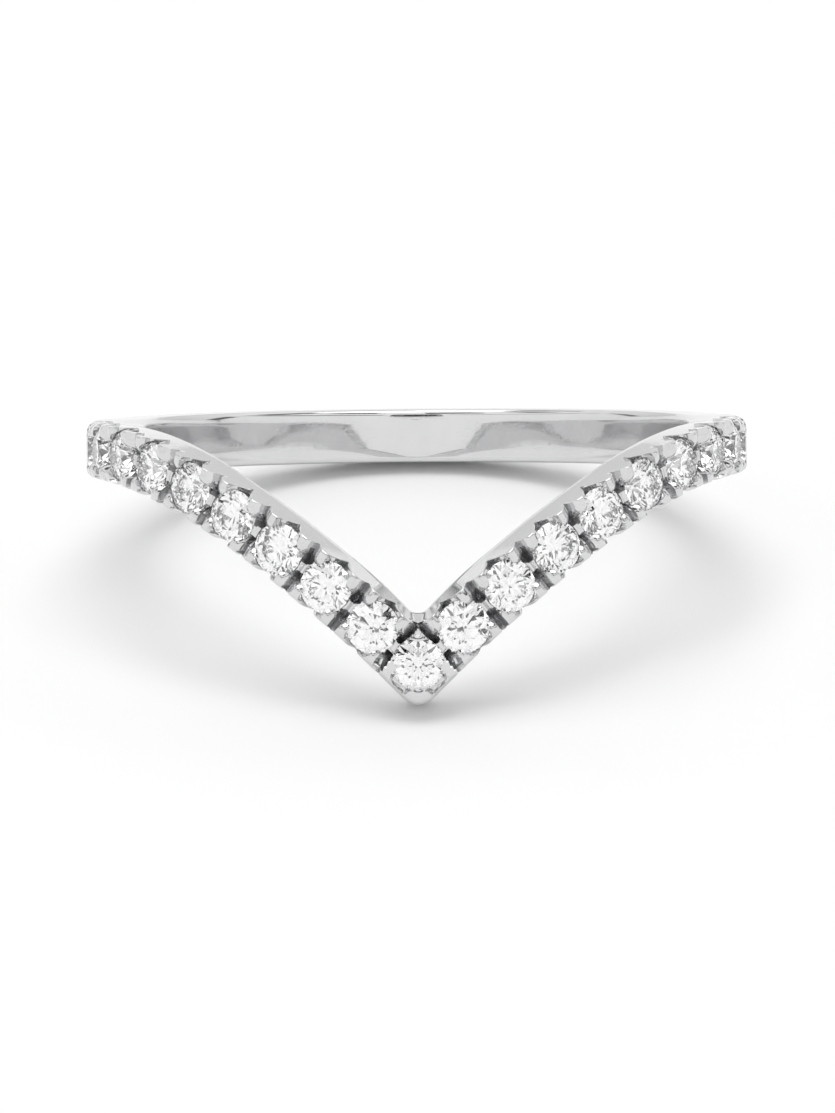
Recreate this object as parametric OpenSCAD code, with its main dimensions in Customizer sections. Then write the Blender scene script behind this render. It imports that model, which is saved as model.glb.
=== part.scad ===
// Chevron ring of polished white metal with a single row of round brilliant stones.
// The ring's own axis is the finger's axis. Azimuth 0 is the point of the chevron, at the front, -Y.
// The finished ring is tilted and set down as it lies on a table, on its point and the back of its shank.

/* [Finger hole] */
// Radius of the finger hole
finger_r = 8.65; // [8.2:0.05:9.4]
// Rounding of the two edges of the finger hole
comfort_r = 0.2; // [0.1:0.02:0.28]

/* [Shank] */
// Thickness of the plain back of the ring, outward from the finger hole
shank_t = 1.5; // [1.3:0.05:1.7]
// Width of the plain back of the ring, along the finger
shank_w = 1.76; // [1.6:0.02:2]
// Rounding of the two outer edges of the plain back
shank_edge_r = 0.3; // [0.1:0.02:0.4]
// Angle over which the set head thins down to the plain back
ease_deg = 10; // [6:1:16]

/* [Chevron] */
// Distance that the point drops below the middle of the shank
point_drop = 6.4; // [5:0.05:7]
// Part of that drop which the arms make close to the point, where they are steepest
sharpen_drop = 0.15; // [0:0.01:0.2]
// Angle on each side of the point over which they make it
sharpen_deg = 14; // [10:1:20]
// Angle around the finger from the point to where an arm runs level
arm_deg = 81.5; // [72:0.5:86]
// Radius that rounds the outer tip of the point
tip_r = 0.65; // [0.4:0.05:0.9]
// Radius that rounds the inner notch above the point
notch_r = 0.35; // [0.2:0.05:0.6]

/* [Head] */
// Thickness of the set head, outward from the finger hole
head_t = 1.85; // [1.8:0.02:2.05]
// Width of the head's outer face, across the row of stones
head_top_w = 1.9; // [1.86:0.02:1.96]
// Width of the head at the finger hole, beside the point
head_base_w = 1.94; // [1.84:0.02:2.04]
// Width of the head at the finger hole, along the arms
waist_w = 1.4; // [1.3:0.02:1.6]
// Angle from the point over which the head narrows to that width
waist_deg = 38; // [30:1:44]
// Angle over which that width grows to the width of the plain back
waist_ease_deg = 18; // [14:1:24]
// Rounding of the head's lower outer edge at the front
head_edge_r = 0.38; // [0.3:0.01:0.42]
// Rounding of the head's upper outer edge, which is crisp, at the front
crest_r = 0.1; // [0.08:0.01:0.14]
// Distance that this edge stands in there, toward the row of stones
crest_in = 0.05; // [0.03:0.01:0.06]
// Rounding of both outer edges at the sides of the ring, where the row ends
end_edge_r = 0.44; // [0.38:0.02:0.46]

/* [Stones] */
// Diameter of each stone at its girdle
stone_d = 1.62; // [1.56:0.01:1.64]
// Gap between two neighbouring stones, along the row
stone_gap = 0.27; // [0.22:0.01:0.3]
// Width of a stone's table as a share of its diameter
table_share = 0.56; // [0.5:0.01:0.62]
// Slope of the crown
crown_deg = 34.5; // [30:0.5:36]
// Slope of the pavilion
pavilion_deg = 40.75; // [39.5:0.25:42]
// Thickness of the girdle
girdle_t = 0.05; // [0.03:0.01:0.08]
// Height of the head's outer face above a stone's table
table_sink = 0.03; // [0.01:0.01:0.08]
// Rise of the point's stone above the middle line of the arms
point_stone_up = 0.18; // [0.1:0.01:0.2]

/* [Setting] */
// Gap between a stone and the metal around it
stone_clear = 0.03; // [0.02:0.005:0.04]
// Depth that a seat's straight wall runs below the girdle
seat_depth = 0.1; // [0.08:0.01:0.14]
// Overhang of a prong over the edge of its stone
prong_lip = 0.12; // [0.08:0.01:0.16]
// Width of the scallop between the prongs on each side of a stone
window_w = 0.8; // [0.7:0.02:0.9]
// Width of the two scallops below the point's stone
point_window_w = 0.56; // [0.5:0.02:0.6]
// Distance from a stone's edge to the round wall of the scallop on the side toward the notch
scallop_out = 0.13; // [0.11:0.01:0.15]
// Distance from a stone's edge to the rim on its other side, which stays whole
rim_out = 0.05; // [0.04:0.005:0.06]
// Width of the opening between the two rows of prongs
channel_w = 0.6; // [0.5:0.02:0.7]
// Width of the groove that parts the prongs of two neighbouring stones
groove_w = 0.34; // [0.28:0.01:0.38]
// Depth of that groove
groove_depth = 0.32; // [0.26:0.01:0.36]
// Distance from the row's middle to that groove's end, on the side toward the notch
groove_up = 0.7; // [0.6:0.01:0.74]
// Distance along the row from half way to the first groove beside the point
first_groove_on = 0.13; // [0.06:0.01:0.16]
// Lean of that groove, its upper end away from the point
first_groove_deg = 7; // [0:1:8]

/* [Hidden] */
$fn = 64;
rad = 180 / PI;

// Stones on each arm, as NODES lists them
side_stones = 9;
// Steps in the rounded corners of the band's section, at the finger hole and at the outer face
inner_steps = 2;
outer_steps = 4;
// Angle between two sections of an arm
section_deg = 4;
// Sections that round the point, on each side
tip_steps = 5;
// Reach of a cutter past the metal that it cuts
past = 0.5;
// Points around the opening over a stone
plan_steps = 72;
// Half of the angle that a claw's tip takes up around its stone
claw_half_deg = 24;
// Step by which the head's end is smaller than the shank that it is let into
let_in_step = 0.01;
// Angle that the head's end runs into the shank
let_in_deg = 1.5;
// Azimuths between which the rounding of the head's outer edges grows
end_from_deg = 45;
end_to_deg = 80;
// Azimuth from which the upper edge gives up its crispness
crisp_to_deg = 62;

// Radii of the ring's layers
shank_r = finger_r + shank_t;
head_r = finger_r + head_t;

// Heights in a stone, from the middle of its girdle
stone_r = stone_d / 2;
table_r = stone_r * table_share;
girdle_top = girdle_t / 2;
table_z = girdle_top + (stone_r - table_r) * tan(crown_deg);
culet_z = -girdle_top - stone_r * tan(pavilion_deg);
girdle_r = head_r - table_sink - table_z;
pitch = stone_d + stone_gap;

// Places of the claws around a side stone and around the point's stone
side_claw_deg = acos((window_w / 2 + pitch / 2 - groove_w / 2) / 2 / (stone_r - prong_lip / 2));
side_claws = [side_claw_deg, 180 - side_claw_deg, 180 + side_claw_deg, -side_claw_deg];
point_claws = [90, 189, 270, 351];

// Middle line of an arm: height, slope and length over azimuth
function share_along(a) = min(abs(a) / arm_deg, 1);
function fall(a) = (1 + cos(180 * share_along(a))) / 2;
function near_point(a) = max(0, 1 - abs(a) / sharpen_deg);
function mid_z(a) =
  let (u = share_along(a))
    (sharpen_drop - point_drop) * (1 - u - sin(180 * u) / PI)
    - sharpen_drop * pow(near_point(a), 2);
function slope(a, r) =
  2 * rad / r * (
    (point_drop - sharpen_drop) * fall(a) / arm_deg + sharpen_drop * near_point(a) / sharpen_deg
  );
function slope_deg(a, r) = atan(slope(a, r));
function stretch(a, r) = sqrt(1 + pow(slope(a, r), 2));

// Azimuth reached after going a given length along the middle line, in short steps
walk_step = pitch / 12;
function walk(a, left) =
  left <= 0 ? a : walk(a + walk_step * rad / (girdle_r * stretch(a, girdle_r)), left - walk_step);
function row_deg(n) = walk(0, n * pitch - walk_step / 2);
head_deg = row_deg(side_stones + 0.5);
shank_deg = head_deg + ease_deg;

// Rounding of the point: what a fillet of radius r adds to a sharp corner, x along the ring
function fillet_rise(x, r, deg) =
  abs(x) >= r * sin(deg) ? 0 : r / cos(deg) - sqrt(r * r - x * x) - tan(deg) * abs(x);

// Section of the band at an azimuth, as points of radius and sideways offset
function ease(t) = let (c = min(max(t, 0), 1)) c * c * (3 - 2 * c);
function set_share(a) = ease((shank_deg - abs(a)) / ease_deg);
function mix(low, high, t) = low + (high - low) * t;
function outer_r(a) = mix(shank_r, head_r, set_share(a));
function top_half(a) = mix(shank_w, head_top_w, set_share(a)) / 2;
function base_half(a) =
  abs(a) < waist_deg
    ? mix(head_base_w, waist_w, ease(abs(a) / waist_deg)) / 2
    : mix(shank_w, waist_w, ease((shank_deg - abs(a)) / waist_ease_deg)) / 2;
function low_round(a) =
  mix(head_edge_r, end_edge_r, ease((abs(a) - end_from_deg) / (end_to_deg - end_from_deg)));
function low_edge_r(a) = mix(shank_edge_r, low_round(a), set_share(a));
function crisp_share(a) = ease((end_to_deg - abs(a)) / (end_to_deg - crisp_to_deg));
function crest_edge_r(a) = mix(shank_edge_r, mix(end_edge_r, crest_r, crisp_share(a)), set_share(a));
function crest_half(a) = top_half(a) - crest_in * crisp_share(a);
function toward(p, q, d) = p + (q - p) * d / norm(q - p);
function corner(p, before, after, r, steps) = [
  for (i = [0:steps])
    let (t = i / steps, b = toward(p, before, r), c = toward(p, after, r))
      b * pow(1 - t, 2) + p * 2 * t * (1 - t) + c * t * t
];
function section(a) =
  let (
    in_low = [finger_r, -base_half(a)],
    out_low = [outer_r(a), -top_half(a)],
    out_high = [outer_r(a), crest_half(a)],
    in_high = [finger_r, base_half(a)]
  ) concat(
    corner(in_low, in_high, out_low, comfort_r, inner_steps),
    corner(out_low, in_low, out_high, low_edge_r(a), outer_steps),
    corner(out_high, out_low, in_high, crest_edge_r(a), outer_steps),
    corner(in_high, out_high, in_low, comfort_r, inner_steps)
  );
section_points = 2 * (inner_steps + outer_steps + 2);

// The same section drawn in a little, for the head's end that is let into the shank
function let_in(a) =
  let (middle = [(finger_r + outer_r(a)) / 2, 0])
    [for (p = section(a)) [for (i = [0:1]) p[i] - sign(p[i] - middle[i]) * let_in_step]];

// A section's points in space, about the ring's own axis
function tip_share(offset, a) = (offset / base_half(a) + 1) / 2;
function in_space(p, a) =
  let (
    z = mid_z(a) + p[1] * stretch(a, p[0]),
    r = mix(tip_r, notch_r, tip_share(p[1], a)),
    rise = fillet_rise(p[0] * a / rad, r, slope_deg(0, p[0]))
  ) [p[0] * sin(a), -p[0] * cos(a), z + rise];
tip_deg = max(tip_r, notch_r) * sin(slope_deg(0, finger_r)) * rad / finger_r;
arm_sections = ceil((shank_deg - tip_deg) / section_deg);
half_azimuths = concat(
  [for (i = [1:tip_steps]) tip_deg * i / tip_steps],
  [for (i = [1:arm_sections]) mix(tip_deg, shank_deg, i / arm_sections)]
);
half_count = len(half_azimuths);
azimuths = concat(
  [for (i = [1:half_count]) -half_azimuths[half_count - i]],
  [0],
  half_azimuths
);

// Resting place: the tilt at which the point and the back of the shank touch the table together
front_points = [for (a = azimuths, p = section(a)) in_space(p, a)];
back_points = [for (p = section(180)) in_space(p, 180)];
function low_of(points, deg) = min([for (p = points) p[2] * cos(deg) - p[1] * sin(deg)]);
function find_tilt(low, high, turns) =
  let (deg = (low + high) / 2)
    turns == 0 ? deg
    : low_of(front_points, deg) < low_of(back_points, deg)
      ? find_tilt(deg, high, turns - 1)
      : find_tilt(low, deg, turns - 1);
rest_tilt = find_tilt(0, 45, 24);
rest_low = low_of(front_points, rest_tilt);
rest_y = [
  for (p = concat(front_points, back_points)) p[1] * cos(rest_tilt) + p[2] * sin(rest_tilt)
];
rest_mid_y = (min(rest_y) + max(rest_y)) / 2;

module at_rest() {
  translate([0, -rest_mid_y, -rest_low])
    rotate([-rest_tilt, 0, 0])
      children();
}

// A place on the row: local X along the arm, local Y across it, local Z outward
module on_row(a, z, turn) {
  rotate([0, 0, a])
    translate([0, -girdle_r, z])
      rotate([90, 0, 0])
        rotate([0, 0, turn])
          children();
}

module at_side_stone(side, n) {
  a = row_deg(n);
  mirror([side < 0 ? 1 : 0, 0, 0])
    on_row(a, mid_z(a), slope_deg(a, girdle_r))
      children();
}

module at_point_stone() {
  on_row(0, mid_z(0) + point_stone_up, 0)
    children();
}

// The chevron head and its two ends, as one lofted shell
module head_loft() {
  points = concat(
    [for (p = let_in(shank_deg)) in_space(p, -shank_deg - let_in_deg)],
    [for (a = azimuths, p = abs(a) < shank_deg ? section(a) : let_in(a)) in_space(p, a)],
    [for (p = let_in(shank_deg)) in_space(p, shank_deg + let_in_deg)]
  );
  rings = len(azimuths) + 2;
  sides = [
    for (i = [0:rings - 2], j = [0:section_points - 1])
      let (
        k = (j + 1) % section_points,
        a = i * section_points + j,
        b = i * section_points + k,
        c = b + section_points,
        d = a + section_points
      )
        each [[a, b, c], [a, c, d]]
  ];
  first = [for (j = [section_points - 1:-1:0]) j];
  last = [for (j = [0:section_points - 1]) (rings - 1) * section_points + j];
  polyhedron(points, concat(sides, [first, last]));
}

// The plain back, a true turned shape
module shank_turn() {
  rotate([0, 0, shank_deg - 90])
    rotate_extrude(angle = 360 - 2 * shank_deg, $fn = 180)
      polygon(section(180));
}

// Plan of the opening over a stone: the stone's round, less a rounded claw tip at each angle
function claw(t) = let (u = abs((t + 540) % 360 - 180) / claw_half_deg) u >= 1 ? 0 : pow(cos(90 * u), 2);
module claw_plan(angles) {
  polygon([
    for (i = [0:plan_steps - 1])
      let (t = 360 * i / plan_steps, r = stone_r - prong_lip * max([for (a = angles) claw(t - a)]))
        [r * cos(t), r * sin(t)]
  ]);
}

// Room for one stone: hole for the culet, straight seat, the claws' undersides and their tips
module stone_room(angles) {
  seat_r = stone_r + stone_clear;
  hole_r = stone_r - (seat_depth - girdle_top) / tan(pavilion_deg) + 2 * stone_clear;
  lip_r = stone_r - prong_lip;
  under = girdle_top + stone_clear;
  rotate_extrude($fn = 48)
    polygon([
      [0, culet_z - stone_clear * 2],
      [hole_r, -seat_depth],
      [seat_r, -seat_depth],
      [seat_r, under],
      [lip_r, under + (seat_r - lip_r) * tan(crown_deg)],
      [0, under + (seat_r - lip_r) * tan(crown_deg)]
    ]);
  translate([0, 0, under])
    linear_extrude(table_z + past)
      claw_plan(angles);
}

// A slot along local X with its floor level with the girdle's top
module slot(length, width) {
  translate([-length / 2, -width / 2, girdle_top])
    cube([length, width, table_z + past]);
}

// Scallop between the prongs: the part of a wider round that lies in a slot along local Y
module scallop(width, from, to, out) {
  intersection() {
    translate([0, 0, girdle_top])
      cylinder(h = table_z + past, r = stone_r + out, $fn = 48);
    translate([-width / 2, from, 0])
      cube([width, to - from, table_z + 2 * past]);
  }
}

// V groove across the band, half way between two stones, open at the band's lower side only
module groove() {
  top = table_z + table_sink;
  half_w = groove_w / 2 * (groove_depth + past) / groove_depth;
  translate([0, groove_up, top])
    rotate([90, 0, 0])
      linear_extrude(groove_up + head_top_w / 2 + past)
        polygon([[0, -groove_depth], [half_w, past], [-half_w, past]]);
}

module cuts_of_side(side) {
  for (n = [1:side_stones])
    at_side_stone(side, n) {
      stone_room(side_claws);
      scallop(window_w, 0, stone_d, scallop_out);
      scallop(window_w, -stone_d, 0, rim_out);
      slot(pitch, channel_w);
    }
  at_side_stone(side, 0.5 + first_groove_on / pitch)
    rotate([0, 0, -first_groove_deg])
      groove();
  for (n = [1:side_stones - 1])
    at_side_stone(side, n + 0.5)
      groove();
}

module cuts_of_point() {
  deg = slope_deg(0, girdle_r);
  at_point_stone() {
    stone_room(point_claws);
    for (side = [-1, 1])
      rotate([0, 0, side * deg]) {
        translate([side * pitch / 4, 0, 0])
          slot(pitch / 2, channel_w);
        scallop(point_window_w, -stone_d, 0, scallop_out);
      }
  }
}

// Round brilliant: table, eight stars, eight kites, upper halves, girdle, lower halves and mains
module brilliant() {
  star_r = mix(table_r, stone_r, 0.5) / cos(22.5) * 0.98;
  star_z = table_z - (star_r * cos(22.5) - table_r) * tan(crown_deg);
  low_r = stone_r * 0.22;
  low_z = culet_z + low_r * cos(22.5) * tan(pavilion_deg);
  function ring(r, z, count, start) =
    [for (i = [0:count - 1]) let (a = start + 360 * i / count) [r * cos(a), r * sin(a), z]];
  points = concat(
    ring(table_r, table_z, 8, 0),
    ring(star_r, star_z, 8, 22.5),
    ring(stone_r, girdle_top, 16, 0),
    ring(stone_r, -girdle_top, 16, 0),
    ring(low_r, low_z, 8, 22.5),
    [[0, 0, culet_z]]
  );
  stars = 8;
  upper = 16;
  lower = 32;
  halves = 48;
  culet = 56;
  faces = concat(
    [[for (i = [7:-1:0]) i]],
    [
      for (i = [0:7])
        let (
          j = (i + 1) % 8,
          h = (i + 7) % 8,
          g = 2 * i,
          g1 = (2 * i + 1) % 16,
          g2 = (2 * i + 2) % 16
        )
          each [
            [i, j, stars + i],
            [stars + h, i, stars + i, upper + g],
            [stars + i, upper + g1, upper + g],
            [stars + i, upper + g2, upper + g1],
            [upper + g, upper + g1, lower + g1, lower + g],
            [upper + g1, upper + g2, lower + g2, lower + g1],
            [halves + i, lower + g, lower + g1],
            [halves + i, lower + g1, lower + g2],
            [culet, halves + h, lower + g, halves + i]
          ]
    ]
  );
  polyhedron(points, faces);
}

module band() {
  color("silver")
    at_rest()
      difference() {
        union() {
          head_loft();
          shank_turn();
        }
        cuts_of_point();
        cuts_of_side(1);
        cuts_of_side(-1);
      }
}

module stone_point() {
  color("white")
    at_rest()
      at_point_stone()
        brilliant();
}

module side_stone(side, n) {
  color("white")
    at_rest()
      at_side_stone(side, n)
        brilliant();
}

band();
stone_point();
side_stone(-1, 1);  // stone_left_1
side_stone(-1, 2);  // stone_left_2
side_stone(-1, 3);  // stone_left_3
side_stone(-1, 4);  // stone_left_4
side_stone(-1, 5);  // stone_left_5
side_stone(-1, 6);  // stone_left_6
side_stone(-1, 7);  // stone_left_7
side_stone(-1, 8);  // stone_left_8
side_stone(-1, 9);  // stone_left_9
side_stone(1, 1);  // stone_right_1
side_stone(1, 2);  // stone_right_2
side_stone(1, 3);  // stone_right_3
side_stone(1, 4);  // stone_right_4
side_stone(1, 5);  // stone_right_5
side_stone(1, 6);  // stone_right_6
side_stone(1, 7);  // stone_right_7
side_stone(1, 8);  // stone_right_8
side_stone(1, 9);  // stone_right_9
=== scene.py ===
"""Chevron ring of polished white metal with nineteen round brilliants, dressed round its solids.

The band is lofted again from the sizes of the solids, with finer steps and with the setter's cuts.
The stones are the solids themselves. Lengths are in mm about the ring's own axis until set_down()
lays the ring on the floor, in metres.
"""

import math

import bpy
import numpy as np
from mathutils import Matrix, Vector


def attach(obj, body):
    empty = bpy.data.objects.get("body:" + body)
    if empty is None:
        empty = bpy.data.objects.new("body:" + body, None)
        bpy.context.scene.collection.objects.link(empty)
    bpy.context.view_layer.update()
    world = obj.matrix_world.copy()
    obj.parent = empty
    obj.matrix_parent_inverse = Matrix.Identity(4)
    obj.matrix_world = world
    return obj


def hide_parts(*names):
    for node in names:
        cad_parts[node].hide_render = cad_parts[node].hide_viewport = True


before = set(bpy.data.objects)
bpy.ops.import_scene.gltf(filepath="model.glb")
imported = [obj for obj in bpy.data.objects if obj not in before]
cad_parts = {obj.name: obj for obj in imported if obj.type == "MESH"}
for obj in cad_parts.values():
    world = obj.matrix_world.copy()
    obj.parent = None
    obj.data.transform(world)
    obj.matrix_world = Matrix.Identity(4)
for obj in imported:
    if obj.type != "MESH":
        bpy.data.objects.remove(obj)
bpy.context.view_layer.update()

# Sizes of the solids, in mm and degrees
FINGER_R, COMFORT_R = 8.65, 0.2
SHANK_T, SHANK_W, SHANK_EDGE_R, EASE_DEG = 1.5, 1.76, 0.3, 10.0
POINT_DROP, SHARPEN_DROP, SHARPEN_DEG, ARM_DEG = 6.4, 0.15, 14.0, 81.5
TIP_R, NOTCH_R = 0.65, 0.35
HEAD_T, HEAD_TOP_W, HEAD_BASE_W = 1.85, 1.9, 1.94
WAIST_W, WAIST_DEG, WAIST_EASE_DEG = 1.4, 38.0, 18.0
HEAD_EDGE_R, END_EDGE_R, CREST_R, CREST_IN = 0.38, 0.44, 0.1, 0.05
END_FROM_DEG, CRISP_TO_DEG, END_TO_DEG = 45.0, 62.0, 80.0
STONE_D, STONE_GAP, TABLE_SHARE = 1.62, 0.27, 0.56
CROWN_DEG, PAVILION_DEG, GIRDLE_T, TABLE_SINK = 34.5, 40.75, 0.05, 0.03
POINT_STONE_UP, STONE_CLEAR, SEAT_DEPTH, PRONG_LIP = 0.18, 0.03, 0.1, 0.12
WINDOW_W, POINT_WINDOW_W, SCALLOP_OUT, RIM_OUT, CHANNEL_W = 0.8, 0.56, 0.13, 0.05, 0.6
GROOVE_W, GROOVE_DEPTH, GROOVE_UP, FIRST_GROOVE_ON, FIRST_GROOVE_DEG = 0.34, 0.32, 0.7, 0.13, 7.0
CLAW_HALF_DEG = 24.0
SIDE_STONES = 9

# From here on only in the scene: a softer crest where the row ends
END_CREST_R = 0.6
# A groove's floor rises toward its end in a curve that would come out this far past the end, and
# then in a steep wall. The floor is finely hatched and its edges a little rounded.
GROOVE_FADE, GROOVE_END_STEEP = 0.06, 12
HATCH_PITCH, HATCH_DEPTH, GROOVE_BLEND = 0.055, 0.012, 0.012
# Beads on the claws: rise over the head, fall to either side, fall inward of a line, and that
# line and the beads' inner end, both across the arm from the row's middle
BEAD_UP, BEAD_SIDE_FALL, BEAD_IN_FALL, BEAD_LINE, BEAD_FROM = 0.01, 2.6, 2.4, 0.66, 0.2
# The other cuts: slope of their walls, and rounding of their edges
CUT_STEEP, CUT_BLEND = 4, 0.03
# Where cuts are looked for: down from the head's face, along the arm past a stone and beside a
# groove, across the arm, and the least cosine round the finger
CUT_DOWN, STONE_REACH, GROOVE_REACH, ACROSS_REACH, LEVEL_REACH = 0.75, 0.1, 0.4, 1.6, 0.9
NO_CUT = 99.0

# The loft's steps along the row, and close to the point; how far from the point the sections have
# turned square to the arm; and the counts of steps round the back, the seats and the openings
ROW_STEP, POINT_STEP, POINT_SPAN, LEAN_SPAN = 0.05, 0.025, 0.7, 2.0
BACK_STEPS, SEAT_STEPS, OPENING_STEPS = 100, 72, 120
# How far the openings stand over the stones' tables, clear of the metal
OPENING_OVER = 0.6

# How the ring lies, as in the solids: the lean of its axis, and its low and middle in mm
REST_TILT, REST_LOW, REST_MID_Y = 19.5012, -4.14384, -1.24291
REST_SHIFT = (0, -REST_MID_Y, -REST_LOW)
REST_TURN = math.radians(-REST_TILT)

MM = 0.001
# Edges sharper than this are drawn as edges
SHARP_DEG = 35

# What follows from the sizes
SHANK_R, HEAD_R = FINGER_R + SHANK_T, FINGER_R + HEAD_T
STONE_R = STONE_D / 2
TABLE_R = STONE_R * TABLE_SHARE
GIRDLE_TOP = GIRDLE_T / 2
TABLE_Z = GIRDLE_TOP + (STONE_R - TABLE_R) * math.tan(math.radians(CROWN_DEG))
CULET_Z = -GIRDLE_TOP - STONE_R * math.tan(math.radians(PAVILION_DEG))
GIRDLE_R = HEAD_R - TABLE_SINK - TABLE_Z
PITCH = STONE_D + STONE_GAP
CLAW_X = (WINDOW_W / 2 + PITCH / 2 - GROOVE_W / 2) / 2
CLAW_DEG = math.degrees(math.acos(CLAW_X / (STONE_R - PRONG_LIP / 2)))
SIDE_CLAWS = (CLAW_DEG, 180 - CLAW_DEG, 180 + CLAW_DEG, -CLAW_DEG)
POINT_CLAWS = (90, 189, 270, 351)


# The band's surface, as in the solids. Azimuths are in degrees, and may be arrays.
def mid_z(a):
    """Height of the band's middle line over the plain back's."""
    u = np.minimum(np.abs(a) / ARM_DEG, 1)
    near = np.maximum(0, 1 - np.abs(a) / SHARPEN_DEG)
    arm = (SHARPEN_DROP - POINT_DROP) * (1 - u - np.sin(np.pi * u) / np.pi)
    return arm - SHARPEN_DROP * near**2


def slope(a, r):
    """Rise of the middle line for each mm round the ring at this radius."""
    u = np.minimum(np.abs(a) / ARM_DEG, 1)
    near = np.maximum(0, 1 - np.abs(a) / SHARPEN_DEG)
    rise = (POINT_DROP - SHARPEN_DROP) * (1 + np.cos(np.pi * u)) / 2 / ARM_DEG
    rise = rise + SHARPEN_DROP * near / SHARPEN_DEG
    return 2 * np.degrees(1) / r * rise


def stretch(a, r):
    """Length along the arm for each mm round the ring at this radius."""
    return np.sqrt(1 + slope(a, r) ** 2)


def row_deg(n):
    """Azimuth reached after n pitches along the arm from the point."""
    step, a, left = PITCH / 12, 0.0, n * PITCH - PITCH / 24
    while left > 0:
        a += math.degrees(step / (GIRDLE_R * stretch(a, GIRDLE_R)))
        left -= step
    return a


HEAD_DEG = row_deg(SIDE_STONES + 0.5)
SHANK_DEG = HEAD_DEG + EASE_DEG


def ease(t):
    c = np.clip(t, 0, 1)
    return c * c * (3 - 2 * c)


def mix(low, high, t):
    return low + (high - low) * t


def set_share(a):
    """1 along the head, easing to 0 at the plain back."""
    return ease((SHANK_DEG - np.abs(a)) / EASE_DEG)


def base_half(a):
    """Half the width at the finger, narrowest at the waist of each arm."""
    near = mix(HEAD_BASE_W, WAIST_W, ease(np.abs(a) / WAIST_DEG))
    far = mix(SHANK_W, WAIST_W, ease((SHANK_DEG - np.abs(a)) / WAIST_EASE_DEG))
    return np.where(np.abs(a) < WAIST_DEG, near, far) / 2


def fillet_rise(x, r, deg):
    """How far a rounding lifts a V of this slope, at a distance from its corner."""
    tilt = np.radians(deg)
    inside = np.abs(x) < r * np.sin(tilt)
    x = np.where(inside, x, 0)
    return np.where(inside, r / np.cos(tilt) - np.sqrt(r * r - x * x) - np.tan(tilt) * np.abs(x), 0)


def crisp_share(a):
    """1 where the crest is crisp, easing to 0 where the row ends."""
    return ease((END_TO_DEG - np.abs(a)) / (END_TO_DEG - CRISP_TO_DEG))


def section_point(a, place):
    """Radius and sideways offset of a place round the section, at an azimuth.

    place is (corner, share round it), or (corner, None, share of the way on to the next corner).
    """
    share, base = set_share(a), base_half(a)
    out, top = mix(SHANK_R, HEAD_R, share), mix(SHANK_W, HEAD_TOP_W, share) / 2
    inner = np.full_like(out, FINGER_R)
    end_share = ease((np.abs(a) - END_FROM_DEG) / (END_TO_DEG - END_FROM_DEG))
    low_edge = mix(SHANK_EDGE_R, mix(HEAD_EDGE_R, END_EDGE_R, end_share), share)
    crisp = crisp_share(a)
    crest_edge = mix(SHANK_EDGE_R, mix(END_CREST_R, CREST_R, crisp), share)
    comfort = np.full_like(out, COMFORT_R)
    corners = ((inner, -base), (out, -top), (out, top - CREST_IN * crisp), (inner, base))
    points = [np.stack(corner, -1) for corner in corners]
    radii = (comfort, low_edge, crest_edge, comfort)

    def toward(k, other):
        d = points[other % 4] - points[k % 4]
        return points[k % 4] + d * (radii[k % 4] / np.linalg.norm(d, axis=-1))[..., None]

    k = place[0]
    if place[1] is not None:
        t = place[1]
        before, after = toward(k, k - 1) * (1 - t) ** 2, toward(k, k + 1) * t * t
        return before + points[k] * 2 * t * (1 - t) + after
    return mix(toward(k, k + 1), toward(k + 1, k), place[2])


def columns():
    """Places round the section, finest where the stones are set.

    The three rows are the steps round each corner, the steps on to the next corner, and how those
    crowd: the walls' places crowd toward the outer face.
    """
    round_steps = (4, 12, 8, 4)
    edge_steps = (8, 28, 11, 5)
    crowding = (0.6, 1.0, 1.7, 1.0)
    out = []
    for k in range(4):
        out += [(k, i / round_steps[k]) for i in range(round_steps[k] + 1)]
        out += [(k, None, (i / edge_steps[k]) ** crowding[k]) for i in range(1, edge_steps[k])]
    return out


def rings():
    """Azimuths of the loft's sections, and the length along the row at an azimuth.

    The sections are close together along the stones and wider round the plain back.
    """
    fine = np.linspace(0, SHANK_DEG, 4001)
    lengths = np.radians(np.diff(fine)) * GIRDLE_R * stretch((fine[1:] + fine[:-1]) / 2, GIRDLE_R)
    length = np.r_[0, np.cumsum(lengths)]
    near = np.arange(0, POINT_SPAN, POINT_STEP)
    along = np.r_[near, np.arange(near[-1] + ROW_STEP, length[-1], ROW_STEP)]
    head = np.interp(along, length, fine)
    back = np.linspace(SHANK_DEG, 360 - SHANK_DEG, BACK_STEPS + 1)
    half = np.r_[head, back[: BACK_STEPS // 2 + 1]]
    return np.r_[-half[:0:-1][1:], half], lambda a: np.interp(np.abs(a), fine, length)


def stone_frames():
    """Each stone's side, azimuth, height and turn. Sides -1 and 1 are the arms, and 0 the point."""
    found = [(0, 0.0, float(mid_z(0.0)) + POINT_STONE_UP, 0.0)]
    for side in (-1, 1):
        for n in range(1, SIDE_STONES + 1):
            a = row_deg(n)
            found.append((side, a, float(mid_z(a)), float(np.arctan(slope(a, GIRDLE_R)))))
    return found


def smooth_min(a, b, k):
    """The smaller of two, with the crossing rounded over a width of about k."""
    h = np.clip(0.5 + 0.5 * (b - a) / k, 0, 1)
    return b * (1 - h) + a * h - k * h * (1 - h)


def local(a, r, z, side, a0, z0, turn):
    """A point in a place's own axes, along and across the arm, and what levels a floor there."""
    off = np.radians(np.where(side < 0, -a, a) - a0)
    across, up = r * np.sin(off), z - z0
    return (
        across * math.cos(turn) + up * math.sin(turn),
        up * math.cos(turn) - across * math.sin(turn),
        np.cos(off),
    )


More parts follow.
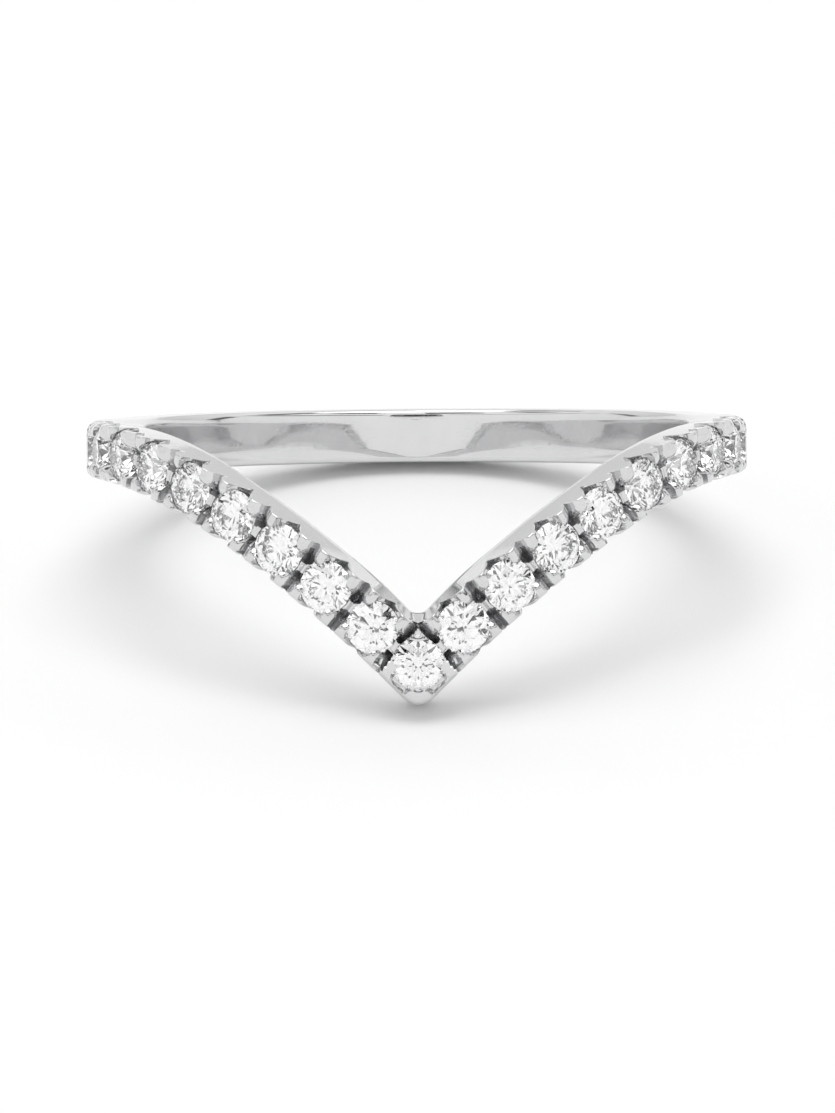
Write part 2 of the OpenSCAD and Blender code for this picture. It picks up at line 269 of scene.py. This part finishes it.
def point_dents(x, y):
    """The point's stone has a dent across its lower claw and two fine cuts across its upper one."""
    dent_depth, dent_half, dent_y, dent_w = 0.05, 0.26, -0.76, 0.045
    cut_depth, cut_half, cut_ys, cut_w = 0.04, 0.2, (0.87, 0.96), 0.03
    dent = dent_depth * np.exp(-((x / dent_half) ** 4) - ((y - dent_y) / dent_w) ** 2)
    cuts = sum(np.exp(-(((y - cut_y) / cut_w) ** 2)) for cut_y in cut_ys)
    return dent + cut_depth * np.exp(-((x / cut_half) ** 4)) * cuts


def scoop(shape):
    """Height over a cut's floor: none inside its shape, and a steep wall outside it."""
    return CUT_STEEP * np.maximum(0, shape)


def arm_cuts(x, y, base):
    """Room to leave round a stone on an arm: scallops, channel and beaded claws."""
    past_stone = np.hypot(x, y) - STONE_R - np.where(y < 0, RIM_OUT, SCALLOP_OUT)
    window = np.maximum(np.abs(x) - WINDOW_W / 2, past_stone)
    channel = np.maximum(np.abs(y) - CHANNEL_W / 2, np.abs(x) - PITCH / 2)
    limit = np.minimum(base + scoop(window), base + scoop(channel))
    side_fall = BEAD_SIDE_FALL * (np.abs(x) - CLAW_X) ** 2
    in_fall = BEAD_IN_FALL * np.maximum(0, BEAD_LINE - np.abs(y)) ** 2
    bead = HEAD_R + BEAD_UP - side_fall - in_fall
    return np.minimum(limit, np.where(np.abs(y) > BEAD_FROM, bead, NO_CUT))


def point_cuts(x, y, base):
    """Room to leave round the point's stone: a window and a channel toward each arm."""
    limit = np.full_like(x, NO_CUT)
    turn = float(np.arctan(slope(0.0, GIRDLE_R)))
    past_stone = np.hypot(x, y) - STONE_R - SCALLOP_OUT
    for way in (-1, 1):
        u = x * math.cos(turn) + way * y * math.sin(turn)
        v = y * math.cos(turn) - way * x * math.sin(turn)
        window = np.maximum(np.maximum(np.abs(u) - POINT_WINDOW_W / 2, v), past_stone)
        channel = np.maximum(np.abs(v) - CHANNEL_W / 2, -way * u)
        channel = np.maximum(channel, way * u - PITCH / 2)
        limit = np.minimum(limit, base + scoop(window))
        limit = np.minimum(limit, base + scoop(channel))
    return limit


def groove_cut(x, y, n):
    """Floor of the V groove after the n-th stone, which parts the claws of two neighbours."""
    hatch = HATCH_DEPTH * np.abs((x / HATCH_PITCH + 0.5 * n) % 1 - 0.5)
    cut = HEAD_R - GROOVE_DEPTH + GROOVE_DEPTH * np.abs(x) / (GROOVE_W / 2) + hatch
    cut = cut + GROOVE_DEPTH * np.maximum(0, y / (GROOVE_UP + GROOVE_FADE)) ** 2
    return cut + GROOVE_DEPTH * GROOVE_END_STEEP * np.maximum(0, y - GROOVE_UP)


def setter_cuts(a, r, z):
    """Lowers the head's surface to what the setter left round the stones and between them."""
    top = r.copy()
    face = r > HEAD_R - CUT_DOWN

    def reached(x, y, level, along):
        return face & (np.abs(x) < along) & (np.abs(y) < ACROSS_REACH) & (level > LEVEL_REACH)

    for side, a0, z0, turn in stone_frames():
        x, y, level = local(a, r, z, side, a0, z0, turn)
        here = reached(x, y, level, PITCH / 2 + STONE_REACH)
        x, y = x[here], y[here]
        base = (GIRDLE_R + GIRDLE_TOP) / level[here]
        limit = (arm_cuts if side else point_cuts)(x, y, base)
        top[here] = smooth_min(top[here], limit, CUT_BLEND)
        if not side:
            top[here] -= point_dents(x, y)
    for side in (-1, 1):
        for n in range(SIDE_STONES):
            a0 = row_deg(n + 0.5 + (0 if n else FIRST_GROOVE_ON / PITCH))
            lean = 0.0 if n else math.radians(FIRST_GROOVE_DEG)
            turn = float(np.arctan(slope(a0, GIRDLE_R))) - lean
            x, y, level = local(a, r, z, side, a0, float(mid_z(a0)), turn)
            here = reached(x, y, level, GROOVE_REACH)
            cut = groove_cut(x[here], y[here], n) / level[here]
            top[here] = smooth_min(top[here], cut, GROOVE_BLEND)
    return top


def new_mesh(name, points, faces):
    mesh = bpy.data.meshes.new(name)
    mesh.from_pydata([tuple(p) for p in points], [], [tuple(f) for f in faces])
    mesh.validate()
    obj = bpy.data.objects.new(name, mesh)
    bpy.context.scene.collection.objects.link(obj)
    return obj


def set_down(obj):
    """Takes a mesh from mm about the ring's axis to metres on the floor."""
    lay = Matrix.Scale(MM, 4) @ Matrix.Translation(REST_SHIFT) @ Matrix.Rotation(REST_TURN, 4, "X")
    obj.data.transform(lay)


def band_surface():
    """The band's closed skin: a grid of places round the section and of sections round the ring.

    Away from the point the sections stand square to the arm, so each place moves along it a little.
    """
    along, length_at = rings()
    lean = np.sign(along) * np.arctan(slope(along, GIRDLE_R))
    share = ease(length_at(along) / LEAN_SPAN)
    grid = []
    for place in columns():
        offset = section_point(along, place)[:, 1]
        a = along - np.degrees(share * offset * np.sin(lean) / HEAD_R)
        rt = section_point(a, place)
        r, t = rt[:, 0], rt[:, 1]
        tip = mix(TIP_R, NOTCH_R, (t / base_half(a) + 1) / 2)
        rise = fillet_rise(r * np.radians(a), tip, np.degrees(np.arctan(slope(0.0, r))))
        z = mid_z(a) + t * stretch(a, r) + rise
        cut = setter_cuts(a, r, z)
        grid.append(np.stack((cut * np.sin(np.radians(a)), -cut * np.cos(np.radians(a)), z), -1))
    points = np.stack(grid, 1)
    count, width = points.shape[:2]
    i, j = np.meshgrid(np.arange(count), np.arange(width), indexing="ij")
    i2, j2 = (i + 1) % count, (j + 1) % width
    faces = np.stack((i * width + j, i * width + j2, i2 * width + j2, i2 * width + j), -1)
    return new_mesh("ring_band", points.reshape(-1, 3), faces.reshape(-1, 4))


# The rooms cut for the stones, as in the solids
def lathe(profile, steps, matrix):
    """A closed turned solid about the local Z axis. The profile starts and ends on the axis."""
    points, faces = [], []
    inner = profile[1:-1]
    for i in range(steps):
        t = 2 * math.pi * i / steps
        points += [matrix @ Vector((r * math.cos(t), r * math.sin(t), z)) for r, z in inner]
    low, high = len(points), len(points) + 1
    points += [matrix @ Vector((0, 0, profile[0][1])), matrix @ Vector((0, 0, profile[-1][1]))]
    width = len(inner)
    for i in range(steps):
        a, b = i * width, (i + 1) % steps * width
        faces.append((low, b, a))
        faces += [(a + k, b + k, b + k + 1, a + k + 1) for k in range(width - 1)]
        faces.append((high, a + width - 1, b + width - 1))
    return points, faces


def claw_plan(angles, steps):
    """Outline of the opening over a stone: the girdle's circle, drawn in at each claw."""
    out = []
    for i in range(steps):
        t = 360 * i / steps
        claw = 0.0
        for a in angles:
            u = abs((t - a + 540) % 360 - 180) / CLAW_HALF_DEG
            claw = max(claw, 0.0 if u >= 1 else math.cos(math.pi / 2 * u) ** 2)
        r = STONE_R - PRONG_LIP * claw
        out.append((r * math.cos(math.radians(t)), r * math.sin(math.radians(t))))
    return out


def prism(plan, low, high, matrix):
    """A closed straight solid with this outline, between two heights."""
    count = len(plan)
    points = [matrix @ Vector((x, y, z)) for z in (low, high) for x, y in plan]
    faces = [tuple(range(count - 1, -1, -1)), tuple(range(count, 2 * count))]
    faces += [(i, (i + 1) % count, count + (i + 1) % count, count + i) for i in range(count)]
    return points, faces


def place_matrix(side, a, z, turn):
    """From a stone's own axes to the ring's. The left arm is the mirror of the right one."""
    on_row = (
        Matrix.Rotation(math.radians(a), 4, "Z")
        @ Matrix.Translation((0, -GIRDLE_R, z))
        @ Matrix.Rotation(math.radians(90), 4, "X")
        @ Matrix.Rotation(turn, 4, "Z")
    )
    return Matrix.Scale(-1, 4, Vector((1, 0, 0))) @ on_row if side < 0 else on_row


def joined(name, parts):
    """One mesh from (points, faces, flipped) parts. A mirrored part's faces are turned back."""
    points, faces = [], []
    for part_points, part_faces, flipped in parts:
        base = len(points)
        points += part_points
        faces += [tuple(base + k for k in (reversed(f) if flipped else f)) for f in part_faces]
    return new_mesh(name, points, faces)


def stone_rooms():
    """The seats, which hold the stones, and the openings over them, which shape the claws."""
    pavilion, crown = math.tan(math.radians(PAVILION_DEG)), math.tan(math.radians(CROWN_DEG))
    seat_r = STONE_R + STONE_CLEAR
    hole_r = STONE_R - (SEAT_DEPTH - GIRDLE_TOP) / pavilion + 2 * STONE_CLEAR
    hole_z, tip_share = CULET_Z - 2 * STONE_CLEAR, 0.02
    lip_r, under = STONE_R - PRONG_LIP, GIRDLE_TOP + STONE_CLEAR
    lip_z = under + (seat_r - lip_r) * crown
    profile = [
        (0, hole_z), (hole_r * tip_share, hole_z), (hole_r, -SEAT_DEPTH),
        (seat_r, -SEAT_DEPTH), (seat_r, under), (lip_r, lip_z), (0, lip_z),
    ]
    seats, openings = [], []
    for side, a, z, turn in stone_frames():
        m = place_matrix(side, a, z, turn)
        seats.append((*lathe(profile, SEAT_STEPS, m), side < 0))
        plan = claw_plan(SIDE_CLAWS if side else POINT_CLAWS, OPENING_STEPS)
        openings.append((*prism(plan, under, TABLE_Z + OPENING_OVER, m), side < 0))
    return joined("seats", seats), joined("openings", openings)


def cut_out(obj, cutters):
    """Takes the cutters away from a mesh for good, and removes them."""
    for cutter in cutters:
        mod = obj.modifiers.new(cutter.name, "BOOLEAN")
        mod.operation, mod.solver, mod.object = "DIFFERENCE", "MANIFOLD", cutter
    done = bpy.data.meshes.new_from_object(obj.evaluated_get(bpy.context.evaluated_depsgraph_get()))
    obj.modifiers.clear()
    old, obj.data = obj.data, done
    bpy.data.meshes.remove(old)
    for cutter in cutters:
        bpy.data.objects.remove(cutter)


# Materials
class Nodes:
    """A tree's nodes, made and joined in one line each."""

    def __init__(self, tree):
        self.tree = tree
        tree.nodes.clear()

    def feed(self, socket, value):
        if isinstance(value, bpy.types.NodeSocket):
            self.tree.links.new(value, socket)
        else:
            socket.default_value = value

    def add(self, kind, **sockets):
        """A node with its inputs fed by name. A name with a leading _ is a setting of the node."""
        node = self.tree.nodes.new(kind)
        for name, value in sockets.items():
            if name.startswith("_"):
                setattr(node, name[1:], value)
            else:
                self.feed(node.inputs[name], value)
        return node

    def math(self, kind, *values):
        node = self.add("ShaderNodeMath", _operation=kind)
        for socket, value in zip(node.inputs, values):
            self.feed(socket, value)
        return node.outputs[0]

    def remap(self, value, low, high, to_low, to_high):
        node = self.add("ShaderNodeMapRange", Value=value)
        ends = {"From Min": low, "From Max": high, "To Min": to_low, "To Max": to_high}
        for name, number in ends.items():
            node.inputs[name].default_value = number
        return node.outputs["Result"]

    def noise(self, where, scale, detail):
        node = self.add("ShaderNodeTexNoise", Vector=where, Scale=scale, Detail=detail)
        return node.outputs["Fac"]

    def blend(self, kind, share, low, high):
        node = self.add("ShaderNodeMix", _data_type=kind, Factor=share)
        for name, value in (("A", low), ("B", high)):
            self.feed(node.inputs[name], value)
        return node.outputs["Result"]


def new_material(name):
    """A material, its empty node tree and the object's own coordinates, which are in metres."""
    mat = bpy.data.materials.new(name)
    mat.use_nodes = True
    n = Nodes(mat.node_tree)
    return mat, n, n.add("ShaderNodeTexCoord").outputs["Object"]


def metal():
    """White metal: clear polish, hairline marks and a faint worn sheen, with painted shade that
    darkens its colour where shut in.
    """
    low_tint, high_tint = (0.69, 0.69, 0.695, 1), (0.72, 0.72, 0.725, 1)
    # Painted shade: the colour turns to this darker tint in recesses, within the reach below
    painted_shade_tint = (0.66, 0.66, 0.665, 1)
    polish, mark_rough, worn_rough, worn_share = (0.025, 0.05), 0.06, 0.45, 0.12
    painted_shade_reach, painted_shade_full = 0.0005, 0.6
    mark_strength, mark_depth = 0.12, 0.000003
    mat, n, where = new_material("white_metal")

    def marks_along(turn, stretch, scale, low, high):
        laid = n.add("ShaderNodeMapping", Vector=where, Rotation=turn, Scale=stretch)
        return n.remap(n.noise(laid.outputs["Vector"], scale, 4.0), low, high, 0.0, 1.0)

    cloud = n.noise(where, 900.0, 3.0)
    scratches = marks_along((0.4, 0.9, 0.6), (1.0, 14.0, 14.0), 2600.0, 0.60, 0.72)
    hairs = marks_along((1.1, 0.2, -0.9), (16.0, 1.0, 16.0), 1800.0, 0.62, 0.74)
    marks = n.math("MAXIMUM", scratches, hairs)
    marked = n.remap(marks, 0.0, 1.0, 0.0, mark_rough)
    rough = n.math("ADD", n.remap(cloud, 0.3, 0.7, *polish), marked)
    tint = n.blend("RGBA", n.remap(cloud, 0.35, 0.65, 0.0, 1.0), low_tint, high_tint)
    # Painted shade: ambient occlusion darkens the base colour where the metal is shut in
    painted_shade_openness = n.add("ShaderNodeAmbientOcclusion", _samples=6, Distance=painted_shade_reach).outputs["AO"]
    tone_with_painted_shade = n.blend("RGBA", n.remap(painted_shade_openness, 0.0, painted_shade_full, 0.0, 1.0), painted_shade_tint, tint)
    bump = n.add("ShaderNodeBump", Height=marks, Strength=mark_strength, Distance=mark_depth)
    bump.invert = True
    polished = n.add(
        "ShaderNodeBsdfPrincipled", Metallic=1.0, Roughness=rough, Normal=bump.outputs["Normal"]
    )
    worn = n.add("ShaderNodeBsdfPrincipled", Metallic=1.0, Roughness=worn_rough)
    both = n.add("ShaderNodeMixShader", Fac=worn_share)
    for place, shader in ((1, polished), (2, worn)):
        n.feed(shader.inputs["Base Color"], tone_with_painted_shade)
        n.feed(both.inputs[place], shader.outputs["BSDF"])
    n.add("ShaderNodeOutputMaterial", Surface=both.outputs["Shader"])
    return mat


def diamond():
    """Clear stone that refracts as diamond does, with a polish grain too fine to see."""
    low_tint, high_tint, index = (0.995, 0.995, 1.0, 1), (1.0, 1.0, 1.0, 1), 2.417
    mat, n, where = new_material("brilliant_stone")
    grain = n.noise(where, 3000.0, 2.0)
    bump = n.add("ShaderNodeBump", Height=grain, Strength=0.02, Distance=0.000001)
    bsdf = n.add("ShaderNodeBsdfPrincipled", Roughness=0.0, IOR=index)
    n.feed(bsdf.inputs["Normal"], bump.outputs["Normal"])
    n.feed(bsdf.inputs["Transmission Weight"], 1.0)
    n.feed(bsdf.inputs["Base Color"], n.blend("RGBA", grain, low_tint, high_tint))
    n.add("ShaderNodeOutputMaterial", Surface=bsdf.outputs["BSDF"])
    return mat


def floor():
    """A plain pale floor, a hair below the ring so that the two don't share a plane."""
    half, steps, low = 1.5, 12, -0.000002
    low_tint, high_tint = (0.93, 0.93, 0.93, 1), (0.95, 0.95, 0.95, 1)
    mat, n, where = new_material("pale_floor")
    bsdf = n.add("ShaderNodeBsdfPrincipled", Roughness=0.7)
    tint = n.blend("RGBA", n.noise(where, 60.0, 3.0), low_tint, high_tint)
    n.feed(bsdf.inputs["Base Color"], tint)
    n.add("ShaderNodeOutputMaterial", Surface=bsdf.outputs["BSDF"])
    ticks = np.linspace(-half, half, steps + 1)
    row = steps + 1
    points = [(x, y, low) for y in ticks for x in ticks]
    corners = [i * row + j for i in range(steps) for j in range(steps)]
    obj = new_mesh("floor", points, [(k, k + 1, k + 1 + row, k + row) for k in corners])
    obj.data.materials.append(mat)
    return obj


# Camera and light
# The tent's light, in front and behind: from one height to another, and the light at each
FRONT_LIGHT, BACK_LIGHT = (-10.0, 60.0, 0.95, 1.12), (2.0, 50.0, 0.76, 1.15)
BACK_FROM_DEG, BACK_FULL_DEG = 95.0, 125.0
# Dark gaps in the tent, in degrees: turn from the camera's side, height, half of the width, half
# of the height, soft edge, and then the darkness
GAPS = (
    (0.0, 31.0, 13.0, 7.0, 1.0, 1.0),
    (60.0, 32.0, 45.0, 4.0, 2.0, 0.95),
    (-65.0, 31.0, 50.0, 2.5, 2.0, 0.9),
    (-24.0, 53.0, 19.0, 9.0, 1.0, 1.0),
    (44.0, 57.0, 19.0, 10.0, 1.0, 1.0),
    (100.0, 51.0, 18.0, 10.0, 1.0, 1.0),
    (-88.0, 54.0, 18.0, 10.0, 1.0, 1.0),
    (165.0, 57.0, 18.0, 9.0, 1.0, 0.95),
    (-145.0, 48.0, 13.0, 9.0, 1.0, 0.95),
    (10.0, 78.0, 40.0, 4.0, 1.0, 1.0),
    (100.0, 12.0, 6.0, 12.0, 2.0, 0.9),
    (-112.0, 14.0, 5.0, 12.0, 2.0, 0.85),
)


def camera():
    """The photograph's camera, in mm about the ring's own axis, looking along +Y and a little down.

    focal and middle_y are in pixels of the frame: the focal length, and the row of what lies
    straight ahead along +Y. roll is in degrees.
    """
    back, up, focal, middle_y, roll = 200.0, 7.396, 6295.4, 212.6, -0.45
    frame_w, frame_h = 835, 1113
    pitch = math.atan((frame_h / 2 - middle_y) / focal)
    ahead = Vector((0, math.cos(pitch), -math.sin(pitch)))
    look = ahead.to_track_quat("-Z", "Y").to_matrix().to_4x4()
    rest = Matrix.Translation(REST_SHIFT) @ Matrix.Rotation(REST_TURN, 4, "X")
    rolled = Matrix.Rotation(math.radians(roll), 4, "Z")
    place = rest @ Matrix.Translation((0, -back, up)) @ look @ rolled
    data = bpy.data.cameras.new("camera")
    obj = bpy.data.objects.new("camera", data)
    bpy.context.scene.collection.objects.link(obj)
    data.sensor_fit, data.sensor_width = "HORIZONTAL", 36.0
    data.lens = focal / frame_w * data.sensor_width
    data.clip_start, data.clip_end = 0.005, 20
    facing = place.to_quaternion().to_matrix().to_4x4()
    obj.matrix_world = Matrix.Translation(place.translation * MM) @ facing
    bpy.context.scene.camera = obj


def tent():
    """A white tent with a grey back wall. The dark gaps give metal and stones their lines."""
    world = bpy.data.worlds.new("studio")
    bpy.context.scene.world = world
    world.use_nodes = True
    n = Nodes(world.node_tree)
    where = n.add("ShaderNodeTexCoord").outputs["Generated"]
    parts = n.add("ShaderNodeSeparateXYZ", Vector=where)
    toward_camera = n.math("MULTIPLY", parts.outputs["Y"], -1.0)
    turn = n.math("DEGREES", n.math("ARCTAN2", parts.outputs["X"], toward_camera))
    rise = n.math("DEGREES", n.math("ARCSINE", parts.outputs["Z"]))
    behind = n.remap(n.math("ABSOLUTE", turn), BACK_FROM_DEG, BACK_FULL_DEG, 0.0, 1.0)
    level = n.blend("FLOAT", behind, n.remap(rise, *FRONT_LIGHT), n.remap(rise, *BACK_LIGHT))

    def inside(value, middle, half):
        return n.math("SUBTRACT", half, n.math("ABSOLUTE", n.math("SUBTRACT", value, middle)))

    for gap_turn, gap_rise, half_turn, half_rise, soft, dark in GAPS:
        across, up = inside(turn, gap_turn, half_turn), inside(rise, gap_rise, half_rise)
        mask = n.remap(n.math("MINIMUM", across, up), 0.0, soft, 0.0, dark)
        level = n.math("MULTIPLY", level, n.math("SUBTRACT", 1.0, mask))
    light = n.add("ShaderNodeBackground", Color=(1, 1, 1, 1), Strength=level)
    n.add("ShaderNodeOutputWorld", Surface=light.outputs["Background"])


def softbox(name, place, aim, size, watts):
    data = bpy.data.lights.new(name, "AREA")
    data.shape, data.size, data.size_y, data.energy = "RECTANGLE", size[0], size[1], watts
    obj = bpy.data.objects.new(name, data)
    bpy.context.scene.collection.objects.link(obj)
    obj.location = place
    obj.rotation_euler = (Vector(aim) - Vector(place)).to_track_quat("-Z", "Y").to_euler()


camera()
tent()
softbox("top_light", place=(0, 0.05, 0.6), aim=(0, 0, 0), size=(0.5, 0.5), watts=1.2)

band = band_surface()
cut_out(band, stone_rooms())
set_down(band)
band.data.polygons.foreach_set("use_smooth", np.ones(len(band.data.polygons), bool))
band.data.set_sharp_from_angle(angle=math.radians(SHARP_DEG))
band.data.materials.clear()
band.data.materials.append(metal())
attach(band, "root")
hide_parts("band")

stone_mat = diamond()
for name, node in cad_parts.items():
    if name.startswith("stone"):
        for holder in node.material_slots:
            holder.material = stone_mat

floor()
scene = bpy.context.scene
scene.view_settings.view_transform = "Standard"
scene.cycles.glossy_bounces = 16
scene.cycles.transmission_bounces = 16
scene.cycles.max_bounces = 24
